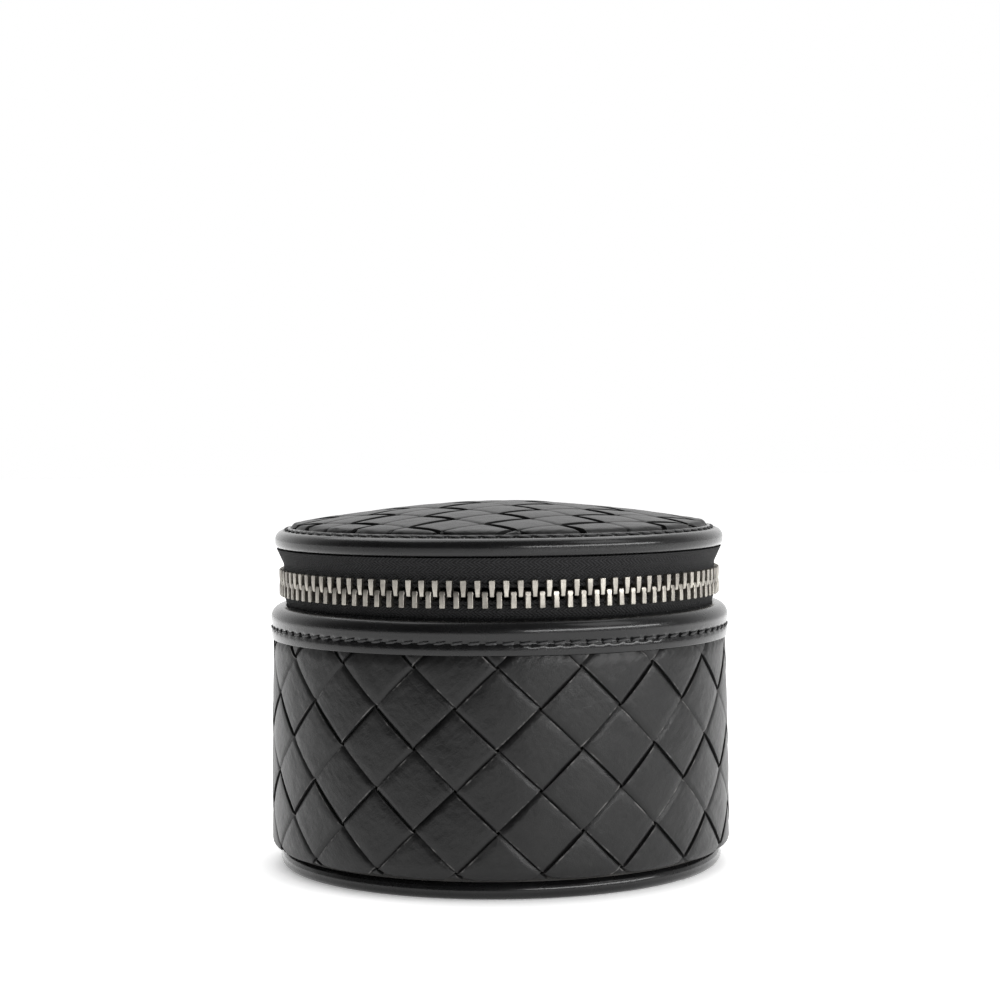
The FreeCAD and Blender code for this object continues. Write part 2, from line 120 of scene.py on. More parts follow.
class Finish:
    # one material; every node comes from node()
    def __init__(self, name, tree=None, **fixed):
        if tree:
            self.tree = tree
            return
        self.material = bpy.data.materials.new(name)
        self.material.use_nodes = True
        self.tree = self.material.node_tree
        self.shader = self.tree.nodes["Principled BSDF"]
        for label, value in fixed.items():
            self.shader.inputs[label].default_value = value

    def node(self, kind, settings, inputs, out=0):
        made = self.tree.nodes.new(kind)
        for key, value in settings.items():
            if key == "stops":
                made.color_ramp.elements[0].position, made.color_ramp.elements[0].color = value[0]
                made.color_ramp.elements[1].position, made.color_ramp.elements[1].color = value[-1]
                for place, colour in value[1:-1]:
                    made.color_ramp.elements.new(place).color = colour
            else:
                setattr(made, key, value)
        for key, value in inputs.items():
            if isinstance(value, Wire):
                self.tree.links.new(value.socket, made.inputs[key])
            else:
                made.inputs[key].default_value = value
        return Wire(self, made.outputs[out])

    def place(self, kind="Object"):
        return self.node("ShaderNodeTexCoord", {}, {}, kind)

    def axes(self, vector):
        split = self.node("ShaderNodeSeparateXYZ", {}, {0: vector})
        return [Wire(self, split.socket.node.outputs[number]) for number in range(3)]

    def point(self, x, y, z=0.0):
        return self.node("ShaderNodeCombineXYZ", {}, {0: x, 1: y, 2: z})

    def noise(self, vector, scale, detail=3.0, rough=0.5, distort=0.0):
        inputs = {"Vector": vector, "Scale": scale, "Detail": detail, "Roughness": rough}
        return self.node("ShaderNodeTexNoise", {}, {**inputs, "Distortion": distort})

    def cells(self, vector, scale, feature="F1", spread=1.0):
        inputs = {"Vector": vector, "Scale": scale, "Randomness": spread}
        return self.node("ShaderNodeTexVoronoi", {"feature": feature}, inputs)

    def shades(self, amount, *stops):
        colours = [(place, (*colour, 1.0)) for place, colour in stops]
        return self.node("ShaderNodeValToRGB", {"stops": colours}, {0: amount})

    def mix(self, amount, first, second):
        inputs = {0: amount, 6: first, 7: (*second, 1.0)}
        return self.node("ShaderNodeMix", {"data_type": "RGBA"}, inputs, 2)

    def bump(self, height, strength, distance, under=None):
        inputs = {"Height": height, "Strength": strength, "Distance": distance}
        if under:
            inputs["Normal"] = under
        return self.node("ShaderNodeBump", {}, inputs)

    def set(self, label, wire):
        self.tree.links.new(wire.socket, self.shader.inputs[label])


leatherLook = {
    "dark": (0.0030, 0.0030, 0.0032),
    "light": (0.0065, 0.0065, 0.0068),
    "grain": 2100,  # pebbles to the metre
    "grainDepth": 0.013 * mm,
    "rough": (0.20, 0.34),
}


def leatherFinish(name, look):
    # smooth finished leather: fine pebble grain, pores, a slow change of gloss
    made = Finish(name, **{"Specular IOR Level": 0.26, "Coat Weight": 0.6,
                           "Coat Roughness": 0.10, "Coat IOR": 1.33})
    spot = made.place()
    slow = made.noise(spot, 90, 3.0)
    pebbles = made.cells(made.node("ShaderNodeVectorMath", {"operation": "ADD"}, {
        0: spot, 1: made.node("ShaderNodeVectorMath", {"operation": "SCALE"}, {
            0: made.node("ShaderNodeTexNoise", {}, {"Vector": spot, "Scale": 700.0}, 1), "Scale": 0.0006})}),
        look["grain"], "DISTANCE_TO_EDGE")
    creases = made.noise(spot, 420, 4.0, 0.6)
    made.set("Base Color", made.shades(slow * 0.7 + creases * 0.3, (0.3, look["dark"]), (0.7, look["light"])))
    low, high = look["rough"]
    made.set("Roughness", low + (high - low) * (slow * 0.5 + creases * 0.5))
    relief = made.bump(creases, 0.35, 0.05 * mm)
    made.set("Normal", made.bump(pebbles.ramp(0.0, 0.22), 0.5, look["grainDepth"], relief))
    return made.material


stripWide = 9.6  # in millimetres, one crossing
stripLook = {
    "dark": (0.0028, 0.0028, 0.0030),
    "light": (0.0085, 0.0084, 0.0083),
    # pale colour for worn strip edges, also a painted highlight on the raised edges
    "edge": (0.14, 0.136, 0.132),
    # near-black for a strip's side faces: painted shade
    "paintedShadeSide": (0.0012, 0.0012, 0.0012),
    "rough": (0.26, 0.46),
}


def stripFinish(name, look):
    # woven strips: UV runs along a strip in crossings, and across it from 0 to 1
    made = Finish(name, **{"Specular IOR Level": 0.34})
    along, across = made.axes(made.place("UV"))[:2]
    flat = made.point(along * stripWide, across * stripWide)
    slow = made.noise(flat, 0.16, 2.0)
    hide = made.noise(flat, 1.1, 5.0, 0.62, 0.4)
    pores = made.cells(flat, 3.1, "DISTANCE_TO_EDGE")
    # the band along each strip edge: real wear, and a painted highlight where the raised edge would catch
    # light
    edgeWearAndHighlight = (across - 0.5).size().ramp(0.462, 0.492)
    paintedShadeSide = (across - 0.5).size().ramp(0.4945, 0.4985)  # a strip's side faces, darkened as painted shade
    tint = made.shades(slow * 0.55 + hide * 0.45, (0.32, look["dark"]), (0.68, look["light"]))
    wornAndHighlitEdge = edgeWearAndHighlight * made.noise(flat, 0.35, 5.0, 0.65).ramp(0.48, 0.66)
    tint = made.mix(wornAndHighlitEdge * 0.8, tint, look["edge"])
    # the side faces take the painted shade colour
    made.set("Base Color", made.mix(paintedShadeSide, tint, look["paintedShadeSide"]))
    low, high = look["rough"]
    made.set("Roughness", low + (high - low) * (slow * 0.4 + hide * 0.6) + edgeWearAndHighlight * 0.12 + paintedShadeSide * 0.3)
    wrinkles = made.noise(made.point(along * stripWide, across * 2.2), 1.3, 3.0, 0.5)
    soft = made.noise(flat, 0.28, 2.0)
    relief = made.bump(soft, 0.6, 0.30 * mm)
    relief = made.bump(hide, 0.55, 0.07 * mm, relief)
    relief = made.bump(wrinkles, 0.5, 0.10 * mm, relief)
    made.set("Normal", made.bump(pores.ramp(0.0, 0.2), 0.3, 0.03 * mm, relief))
    return made.material


def twillFinish(name, colour, pitch=0.72 * mm, depth=0.12 * mm):
    # woven tape: a fine diagonal rib that turns back each few ribs
    made = Finish(name, **{"Specular IOR Level": 0.25})
    x, y, z = made.axes(made.place())
    round_ = made.node("ShaderNodeMath", {"operation": "ARCTAN2"}, {0: x, 1: y * -1.0})
    arc = round_ * 0.0374
    herring = ((z / (1.6 * mm)).part() - 0.5).size() * 1.6 * mm
    rib = ((arc * 1.0 + herring * 1.5) * (2 * math.pi / pitch)).wave() * 0.5 + 0.5
    thread = (z * (2 * math.pi / (0.28 * mm))).wave() * 0.5 + 0.5
    cloth = rib * 0.7 + thread * 0.3
    fuzz = made.noise(made.place(), 2600, 2.0)
    # ribs lighter on their ridges and darker in their furrows: painted highlight and painted shade, over
    # random fuzz in the tone
    lit = cloth * 0.55 + fuzz * 0.45
    made.set("Base Color", made.shades(lit, (0.38, tuple(c * 0.08 for c in colour)), (0.68, colour)))
    made.set("Roughness", 0.72 + cloth * 0.2)
    made.set("Normal", made.bump(cloth + fuzz * 0.35, 0.9, depth))
    return made.material


def threadFinish(name, colour):
    # waxed thread, its ply twisted
    made = Finish(name)
    x, y, z = made.axes(made.place())
    twist = ((x + y + z * 1.4) * (2 * math.pi / (0.32 * mm))).wave() * 0.5 + 0.5
    # the grooves between plies are coloured darker: painted shade
    made.set("Base Color", made.shades(twist, (0.0, tuple(c * 0.5 for c in colour)), (1.0, colour)))
    made.set("Roughness", 0.42 + twist * 0.2)
    made.set("Normal", made.bump(twist, 0.7, 0.06 * mm))
    return made.material


def metalFinish(name, bright, dull, rough):
    # plated metal with tarnish in soft patches and fine tumbling marks
    made = Finish(name, **{"Metallic": 1.0})
    spot = made.place()
    patches = made.noise(spot, 260, 4.0, 0.6)
    marks = made.noise(made.node("ShaderNodeMapping", {}, {0: spot, 3: (1.0, 1.0, 6.0)}), 1500, 3.0)
    made.set("Base Color", made.shades(patches * 0.75 + marks * 0.25, (0.3, dull), (0.62, bright)))
    made.set("Roughness", rough + (1 - patches) * 0.25 + marks * 0.1)
    made.set("Normal", made.bump(marks, 0.25, 0.02 * mm))
    return made.material


def suedeFinish(name, colour):
    # short nap, brushed lighter and darker
    made = Finish(name, **{"Sheen Weight": 0.6, "Sheen Roughness": 0.45, "Specular IOR Level": 0.15})
    spot = made.place()
    nap = made.noise(spot, 160, 4.0, 0.6, 0.8)
    fibre = made.noise(spot, 3200, 2.0)
    shade = nap * 0.7 + fibre * 0.3
    made.set("Base Color", made.shades(shade, (0.25, tuple(c * 0.62 for c in colour)), (0.75, colour)))
    made.set("Roughness", 0.85 + fibre * 0.12)
    made.set("Normal", made.bump(fibre, 0.5, 0.08 * mm, made.bump(nap, 0.3, 0.12 * mm)))
    return made.material


def boardFinish(name, colour):
    # pressed fibre board, sealed black where it backs the weave
    made = Finish(name)
    spot = made.place()
    fibres = made.noise(made.node("ShaderNodeMapping", {}, {0: spot, 3: (1.0, 1.0, 0.25)}), 900, 4.0)
    made.set("Base Color", made.shades(fibres, (0.3, tuple(c * 0.6 for c in colour)), (0.7, colour)))
    made.set("Roughness", 0.7 + fibres * 0.2)
    made.set("Normal", made.bump(fibres, 0.4, 0.08 * mm))
    return made.material


finishes = {
    "black_leather": leatherFinish("blackLeather", leatherLook),
    "woven_leather": stripFinish("wovenStrips", stripLook),
    "zip_tape": twillFinish("zipTwill", (0.021, 0.021, 0.022)),
    "thread": threadFinish("waxedThread", (0.030, 0.030, 0.031)),
    "zip_metal": metalFinish("agedNickelTeeth", (0.49, 0.465, 0.415), (0.18, 0.165, 0.15), 0.22),
    "slider_metal": metalFinish("agedNickelSlider", (0.62, 0.59, 0.54), (0.36, 0.34, 0.30), 0.22),
    "suede": suedeFinish("greySuede", (0.105, 0.100, 0.096)),
    "board": boardFinish("sealedBoard", (0.030, 0.028, 0.026)),
    "cord": twillFinish("cottonCord", (0.55, 0.53, 0.50)),
    "foam": suedeFinish("charcoalFoam", (0.008, 0.008, 0.008)),
}
print("materials made:", len(finishes))


# mesh helpers


def piece(name, bm, body, slot, nodes=(), smooth=True):
    # turns a finished bmesh into an object that rides on a body
    mesh = bpy.data.meshes.new(name)
    bm.to_mesh(mesh)
    bm.free()
    made = bpy.data.objects.new(name, mesh)
    scene.collection.objects.link(made)
    for face in mesh.polygons:
        face.use_smooth = smooth
    mesh.materials.append(finishes[slot])
    if body:
        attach(made, body)
    if nodes:
        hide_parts(*nodes)
    return made


def modifier(made, kind, **settings):
    added = made.modifiers.new(kind.lower(), kind)
    for key, value in settings.items():
        setattr(added, key, value)
    return added


def rounded(corners, arcSteps=5):
    # an outline of (radius, height, rounding) corners, the rounded ones as arcs
    outline = []
    for number, (x, z, rounding) in enumerate(corners):
        here = Vector((x, z))
        if not rounding:
            outline.append(here)
            continue
        before = Vector(corners[number - 1][:2]) - here
        after = Vector(corners[(number + 1) % len(corners)][:2]) - here
        half = before.angle(after) / 2
        reach = rounding / math.tan(half)
        middle = here + (before.normalized() + after.normalized()).normalized() * rounding / math.sin(half)
        start = here + before.normalized() * reach - middle
        sweep = start.angle_signed(here + after.normalized() * reach - middle)
        for step in range(arcSteps + 1):
            turned = start.copy()
            turned.rotate(Matrix.Rotation(-sweep * step / arcSteps, 2))
            outline.append(middle + turned)
    return outline


def spun(outline, steps, sweep=2 * math.pi, start=0.0):
    # revolves a closed outline in millimetres about +Z; start 0 is the front
    bm = bmesh.new()
    corners = [bm.verts.new((x * mm, 0.0, z * mm)) for x, z in outline]
    edges = [bm.edges.new((corners[number - 1], corner)) for number, corner in enumerate(corners)]
    whole = abs(sweep) > 2 * math.pi - 1e-6
    ends = corners + edges
    if not whole:
        cap = bm.faces.new(corners)
        ends = [cap] + ends
    bmesh.ops.rotate(bm, verts=corners, matrix=Matrix.Rotation(start - math.pi / 2, 3, "Z"))
    if whole:
        bmesh.ops.spin(bm, geom=ends, axis=(0, 0, 1), angle=sweep, steps=steps, use_merge=True)
    else:
        bmesh.ops.spin(bm, geom=ends, axis=(0, 0, 1), angle=sweep, steps=steps)
    bmesh.ops.remove_doubles(bm, verts=bm.verts, dist=1e-7)
    bmesh.ops.recalc_face_normals(bm, faces=bm.faces)
    return bm


def add(whole, part, place=None):
    # copies one bmesh into another, moved to its place
    mesh = bpy.data.meshes.new("part")
    part.to_mesh(mesh)
    if place:
        mesh.transform(place)
    whole.from_mesh(mesh)
    bpy.data.meshes.remove(mesh)


def around(point):
    # a point's angle from the front, growing towards +X
    return math.atan2(point.x, -point.y)


def shift(bm, move):
    for vert in bm.verts:
        vert.co += move(vert.co)


# the weave, made flat and then rolled round the wall or draped on the lid

weave = {
    "crown": 0.05 * mm,
    "pillow": 0.10 * mm,  # a strip's slow fall towards the ends of its crossing
    "dive": (0.425, 0.565),  # where a strip goes down, in crossings from the middle
    "stepsAlong": 20,
    "stepsAcross": 6,
    "waver": 0.08 * mm,
    "unevenness": 0.10 * mm,
}


def flatWeave(aside, ahead, origin, look, rising, numbers, reach):
    # strips of one direction; aside and ahead are a crossing's two diagonals on the flat
    rise = (Vector(aside) + Vector(ahead)) / 2
    fall = (Vector(aside) - Vector(ahead)) / 2
    ahead, aside = (rise, fall) if rising else (fall, rise)
    bm = bmesh.new()
    layer = bm.loops.layers.uv.new("UVMap")
    low, high = weave["dive"]
    for number in numbers:
        start, end = reach(number)
        count = end - start
        grid = bmesh.ops.create_grid(bm, x_segments=round(count * weave["stepsAlong"]),
                                     y_segments=weave["stepsAcross"], size=0.5)
        marks = {}
        for vert in grid["verts"]:
            along = start + (vert.co.x + 0.5) * count
            across = vert.co.y * look["strip"]
            cell = math.floor(along)
            over = (cell + number) % 2 == (1 if rising else 0)
            fromOver = abs(along - cell - 0.5) if over else 1 - abs(along - cell - 0.5)
            amount = min(max((fromOver - low) / (high - low), 0.0), 1.0)
            sunk = amount * amount * (3 - 2 * amount)
            flat = Vector(origin) + ahead * along + aside * (number + 0.5 + across)
            wander = noise.noise(Vector((along * 0.9, number * 7.3, 0.4))) * weave["waver"]
            flat += aside.normalized() * wander * (1 if across > 0 else -1)
            height = -sunk * look["drop"] - weave["crown"] * (2 * across) ** 2 * (1 - sunk)
            height -= weave["pillow"] * min(fromOver / low, 1.0) ** 2 * (1 - sunk)
            height += noise.noise(Vector((along * 0.9, across * 1.2, number * 3.1))) * weave["unevenness"]
            vert.co = (flat.x, flat.y, height)
            marks[vert] = (along + number * 20.0, across / look["strip"] + 0.5)
        for face in {face for vert in grid["verts"] for face in vert.link_faces}:
            for loop in face.loops:
                loop[layer].uv = marks[loop.vert]
    if rising:
        bmesh.ops.reverse_faces(bm, faces=bm.faces)  # these strips are laid mirrored
    return bm


wallRadius = radiusOf("woven_wall")
wallWeave = {
    "around": 18,  # crossings round the case
    "strip": 0.95,  # width of a strip, in crossings
    "thick": 0.52 * mm,
    "drop": 0.72 * mm,  # from the top of a crossing to where a strip passes under
    "diagonal": 13.23 * mm,
    "corner": (math.radians(-0.6), 24.35 * mm),
    "turnIn": 4.9 * mm,  # below this height the wall turns in to the piping
    "turnRadius": 1.75 * mm,
    "low": 3.25 * mm,
    "top": 41.5 * mm,
    "pressFrom": 38.9 * mm,  # the binding presses the strips in above this height
    "pressDepth": 0.42 * mm,
}


def wallPoint(arc, height, lift):
    look = wallWeave
    bulge = 0.05 * mm - 0.38 * mm * (max(height - 10 * mm, 0.0) / (25 * mm)) ** 2
    press = min(max((height - look["pressFrom"]) / (0.8 * mm), 0.0), 1.0)
    bulge -= look["pressDepth"] * press * press * (3 - 2 * press)
    lean = max(look["turnIn"] - height, 0.0) / look["turnRadius"]
    radius = wallRadius + 0.05 * mm + bulge
    radius += lift * math.cos(lean) - look["turnRadius"] * (1 - math.cos(lean))
    height = max(height, look["turnIn"]) - (look["turnRadius"] + lift) * math.sin(lean)
    return Vector((radius * math.sin(arc), -radius * math.cos(arc), height))


def wallStrips(rising):
    look = wallWeave
    step = 2 * math.pi / look["around"]
    turnWide = step * wallRadius
    origin = (look["corner"][0] * wallRadius, look["corner"][1])
    below = (look["corner"][1] - look["low"]) / (look["diagonal"] / 2) + 0.6
    above = (look["top"] - look["corner"][1]) / (look["diagonal"] / 2) + 0.6
    spread = (lambda number: (number + 0.5 - below, number + 0.5 + above)) if rising else (
        lambda number: (number + 0.5 - above, number + 0.5 + below))
    bm = flatWeave((turnWide, 0), (0, look["diagonal"]), origin, look, rising, range(look["around"]), spread)
    for height, side in ((look["low"], -1), (look["top"], 1)):
        bmesh.ops.bisect_plane(bm, geom=bm.verts[:] + bm.edges[:] + bm.faces[:], dist=1e-7,
                               plane_co=(0, height, 0), plane_no=(0, side, 0), clear_outer=True)
    for vert in bm.verts:
        vert.co = wallPoint(vert.co.x / wallRadius, vert.co.y, vert.co.z)
    name = "wallStripsRising" if rising else "wallStripsFalling"
    made = piece(name, bm, "case", "woven_leather", ("woven_wall",))
    modifier(made, "SOLIDIFY", thickness=look["thick"], offset=-1.0)
    modifier(made, "BEVEL", width=0.11 * mm, segments=2, limit_method="ANGLE", angle_limit=math.radians(50))
    return made


wallStrips(True)
wallStrips(False)
print("wall woven")

lidTop = topOf("woven_lid")
lidWeave = {
    "strip": 0.875,
    "thick": 0.95 * mm,
    "drop": 1.5 * mm,
    "aside": (12.4 * mm, -0.3 * mm),
    "ahead": (2.2 * mm, 9.9 * mm),
    "corner": (-0.1 * mm, -19.9 * mm),
    "fall": 3.6 * mm,  # from the crown to the shoulder
    "shoulder": 35.2 * mm,
    "shoulderRound": 1.15 * mm,
    "edge": 36.85 * mm,
    "power": 1.6,
}


def lidHeight(radius):
    return lidTop - lidWeave["fall"] * (radius / (35.5 * mm)) ** lidWeave["power"]


def lidPoint(flat):
    look = lidWeave
    radius = math.hypot(flat.x, flat.y)
    way = Vector((flat.x, flat.y, 0)).normalized() if radius > 0 else Vector((1, 0, 0))
    reach = min(radius, look["edge"])
    over = max(reach - look["shoulder"], 0.0) / look["shoulderRound"]
    inner = min(reach, look["shoulder"])
    out = inner + (look["shoulderRound"] + flat.z) * math.sin(over)
    height = lidHeight(inner) - look["shoulderRound"] * (1 - math.cos(over)) + flat.z * math.cos(over)
    return way * out + Vector((0, 0, height))


def lidStrips(rising):
    look = lidWeave
    bm = flatWeave(look["aside"], look["ahead"], look["corner"], look, rising, range(-10, 11),
                   lambda number: (-10.0, 11.0))
    outside = [face for face in bm.faces
               if all(math.hypot(vert.co.x, vert.co.y) > look["edge"] for vert in face.verts)]
    bmesh.ops.delete(bm, geom=outside, context="FACES")
    for vert in bm.verts:
        vert.co = lidPoint(vert.co)
    bmesh.ops.dissolve_degenerate(bm, edges=bm.edges, dist=1e-6)
    name = "lidStripsRising" if rising else "lidStripsFalling"
    made = piece(name, bm, "lid", "woven_leather", ("woven_lid",))
    modifier(made, "SOLIDIFY", thickness=look["thick"], offset=-1.0)
    modifier(made, "BEVEL", width=0.11 * mm, segments=2, limit_method="ANGLE", angle_limit=math.radians(50))
    return made


lidStrips(True)
lidStrips(False)
print("lid woven")


# bindings and their stitches


def divided(outline, rows):
    # a closed outline with more points on the sides that need them
    fine = []
    for number, point in enumerate(outline):
        before = outline[number - 1]
        count = rows(before, point)
        fine += [before.lerp(point, step / count) for step in range(1, count + 1)]
    return fine


def stitchDip(angle, across, count, width, groove, hole):
    # how far a row of stitches pulls the leather in, at an angle and a distance across the row
    place = (angle * count / (2 * math.pi)) % 1.0 - 0.5
    ends = min(abs(abs(place) - 0.36), 0.5)
    return math.exp(-(across / width) ** 2) * (groove + hole * math.exp(-(ends / 0.09) ** 2))


collar = {
    "stitches": 90,
    "stitchAt": 41.5,
    "steps": 720,
    "groove": 0.18,
    "hole": 0.32,
}


def makeCollar():
    look = collar
    outline = rounded([
        (39.32, 39.5, 0), (39.82, 39.48, 0.18), (39.93, 42.4, 0), (40.0, 42.95, 0.5), (40.0, 45.3, 2.2),
        (37.25, 45.34, 0.35), (37.25, 44.15, 0.1), (39.32, 44.15, 0.1)], 12)
    def rows(before, point):  # more where the stitches pull
        return 14 if before.x > 39.7 and before.y < 42 and (point - before).length > 1 else 1
    bm = spun(divided(outline, rows), look["steps"])
    for vert in bm.verts:
        radius = math.hypot(vert.co.x, vert.co.y)
        if radius < 39.6 * mm or vert.co.z > 43.2 * mm:
            continue
        across = vert.co.z / mm - look["stitchAt"]
        dip = stitchDip(around(vert.co), across, look["stitches"], 0.42, look["groove"], look["hole"]) * mm
        dip -= 0.05 * mm * math.exp(-((across + 1.3) / 0.5) ** 2)
        vert.co.x *= 1 - dip / radius
        vert.co.y *= 1 - dip / radius
    return piece("collarLeather", bm, "case", "black_leather", ("collar",))


def makeRim():
    look = {"stitches": 84, "stitchAt": 37.3}
    outline = rounded([
        (36.62, 55.15, 0.1), (39.15, 55.15, 0.9), (39.2, 58.15, 1.6), (37.85, 58.24, 0.4),
        (36.5, 58.86, 0.25), (36.45, 57.75, 0), (37.98, 57.75, 0), (37.98, 55.95, 0), (36.62, 55.95, 0)], 12)

    def rows(before, point):
        return max(1, round((point - before).length / 0.1)) if min(before.y, point.y) > 57.9 else 1
    bm = spun(divided(outline, rows), 672)
    for vert in bm.verts:
        if vert.co.z < 57.9 * mm:
            continue
        across = math.hypot(vert.co.x, vert.co.y) / mm - look["stitchAt"]
        vert.co.z -= stitchDip(around(vert.co), across, look["stitches"], 0.36, 0.20, 0.34) * mm
    return piece("rimLeather", bm, "lid", "black_leather", ("lid_rim",))


def stitches(name, body, node, count, place, slant):
    # one row of short thread loops, each sinking into its holes at both ends
    bm = bmesh.new()
    for number in range(count):
        angle = 2 * math.pi * (number + 0.5) / count
        made = bmesh.ops.create_uvsphere(bm, u_segments=6, v_segments=6, radius=0.5)
        lean = slant + 0.05 * noise.noise(Vector((number * 1.7, 0.3, 0.1)))
        size = Matrix.Diagonal((0.42 * mm, 0.50 * mm, 2.0 * mm, 1))
        lie = Matrix.Rotation(math.pi / 2 + lean, 4, "X")  # the long axis lies round the case
        out = Matrix.Rotation(angle - math.pi / 2, 4, "Z") @ place @ lie @ size
        bmesh.ops.transform(bm, matrix=out, verts=made["verts"])
    return piece(name, bm, body, "thread", (node,))


makeCollar()
makeRim()
collarPlace = Matrix.Translation((39.83 * mm, 0, 41.5 * mm))
rimPlace = Matrix.Translation((37.3 * mm, 0, 58.42 * mm)) @ Matrix.Rotation(math.radians(114), 4, "Y")
stitches("collarStitches", "case", "collar_stitching", 90, collarPlace, math.radians(9))
stitches("rimStitches", "lid", "lid_stitching", 84, rimPlace, math.radians(8))
print("bindings stitched")


# piped bottom edge and base



def makePiping():
    # leather folded round a cord, rippled a little and flattened underneath
    ring = [(37.1 + 1.5 * math.cos(turn), 1.5 + 1.5 * math.sin(turn))
            for turn in (2 * math.pi * step / 28 for step in range(28))]
    bm = spun([Vector(point) for point in ring], 360)

    def settle(co):
        ripple = noise.noise(Vector((around(co) * 9.0, co.z * 300, 0.7))) * 0.035 * mm
        flatten = max(0.12 * mm - co.z, 0.0) * 0.6
        return Vector((co.x, co.y, 0)).normalized() * ripple + Vector((0, 0, flatten))
    shift(bm, settle)
    return piece("pipingLeather", bm, "case", "black_leather", ("piping_leather",))


def makeBase():
    bm = spun(rounded([(0.02, 0.0, 0), (35.5, 0.0, 0.25), (35.5, 0.9, 0.25), (0.02, 0.9, 0)], 4), 180)
    return piece("baseLeather", bm, "case", "black_leather", ("base_leather",))


makePiping()
makeBase()


# zip

chain = 49.25  # height of the chain's middle line
toothTurn = 2 * math.pi / 104
firstTooth = math.radians(-155.77)
tapeSweep = math.radians(2 * 159.6)
sliderAt = math.radians(145)


def makeTapes():
    lower = rounded([
        (36.7, 36.0, 0.1), (37.2, 36.0, 0.1), (37.2, 45.4, 1.2), (37.65, 47.0, 0.8),
        (37.65, 47.45, 0.2), (37.15, 47.45, 0.2), (37.15, 47.0, 0.8), (36.7, 45.5, 1.2)])
    upper = rounded([
        (37.15, 51.05, 0.2), (37.65, 51.05, 0.2), (37.68, 52.5, 1.5), (38.9, 55.1, 0.05),
        (36.05, 55.1, 0.1), (36.05, 54.6, 0.1), (38.02, 54.6, 0.35), (37.15, 52.6, 1.0)])
    for name, outline, body, node in (("tapeLower", lower, "case", "zip_tape_lower"),
                                      ("tapeUpper", upper, "lid", "zip_tape_upper")):
        def rows(before, point):
            return max(1, round((point - before).length / 0.4)) if point.y > 45 else 1
        bm = spun(divided(outline, rows), 300, tapeSweep, -tapeSweep / 2)

        def slack(co):
            # the cloth waves slightly between the chain and the leather
            free = math.exp(-((co.z / mm - (46.2 if body == "case" else 53.2)) / 0.8) ** 2)
            wave = noise.noise(Vector((around(co) * 14, 0.3, co.z * 100))) * 0.10 * mm * free
            return Vector((co.x, co.y, 0)).normalized() * wave
        shift(bm, slack)
        piece(name, bm, body, "zip_tape", (node,))


toothLook = {
    "out": 38.5,
    "in": 36.3,
    # height from the chain's middle line, half width, share of the depth
    "lower": ((-2.3, 0.50, 1.0), (-0.62, 0.48, 1.0), (-0.36, 0.42, 0.97), (0.0, 0.53, 0.95),
              (0.5, 0.46, 0.84)),
    "upper": ((-2.3, 0.52, 1.0), (-1.1, 0.50, 1.0), (-0.5, 0.42, 0.97), (0.1, 0.38, 0.88),
              (0.5, 0.42, 0.78)),
}


def makeTeeth(name, body, node, way, count, first):
    look = toothLook
    steps = look["lower"] if way > 0 else look["upper"]
    middle = (look["out"] + look["in"]) / 2
    row = bmesh.new()
    for number in range(count):
        tooth = bmesh.new()
        bmesh.ops.create_cube(tooth, size=1.0)
        upright = [edge for edge in tooth.edges if abs(edge.verts[0].co.z - edge.verts[1].co.z) > 0.5]
        bmesh.ops.subdivide_edges(tooth, edges=upright, cuts=len(steps) - 2, use_grid_fill=True)
        cast = noise.noise(Vector((number * 2.3, way, 0.2)))
        for vert in tooth.verts:
            height, half, share = steps[round((vert.co.z + 0.5) * (len(steps) - 1))]
            vert.co = Vector((middle + vert.co.x * share * (look["out"] - look["in"]) + 0.05 * cast,
                              vert.co.y * 2 * half, height))
        lean = Matrix.Rotation(0.05 * noise.noise(Vector((number * 1.9, way, 4.2))), 4, "X")
        add(row, tooth, Matrix.Rotation(first + number * toothTurn - math.pi / 2, 4, "Z")
            @ Matrix.Translation((0, 0, chain * mm)) @ lean @ Matrix.Diagonal((mm, mm, mm * way, 1)))
        tooth.free()
    bmesh.ops.recalc_face_normals(row, faces=row.faces)
    made = piece(name, row, body, "zip_metal", (node,))
    modifier(made, "BEVEL", width=0.15 * mm, segments=1, limit_method="ANGLE", angle_limit=math.radians(40),
             harden_normals=True)
    return made


def makeStops(name, body, node, way):
    # folded metal clips that close each end of a row
    pair = bmesh.new()
    for angle in (math.radians(-158.2), math.radians(149)):
        clip = bmesh.new()
        bmesh.ops.create_cube(clip, size=1.0)
        add(pair, clip, Matrix.Rotation(angle - math.pi / 2, 4, "Z")
            @ Matrix.Translation((37.4 * mm, 0, (chain - way * 1.575) * mm))
            @ Matrix.Diagonal((2.2 * mm, 1.6 * mm, 1.45 * mm, 1)))
        clip.free()
    bmesh.ops.bevel(pair, geom=pair.edges[:], offset=0.32 * mm, segments=3, profile=0.5,
                    affect="EDGES", material=-1)
    return piece(name, pair, body, "slider_metal", (node,))


sliderLook = {
    "long": 8.4,
    "halfHigh": 3.6,
    "narrow": 0.16,  # how much the closing end narrows
    "frontOut": 39.5,
    "frontIn": 38.72,
    "backOut": 36.08,
    "backIn": 35.3,
    "flange": 0.85,
}


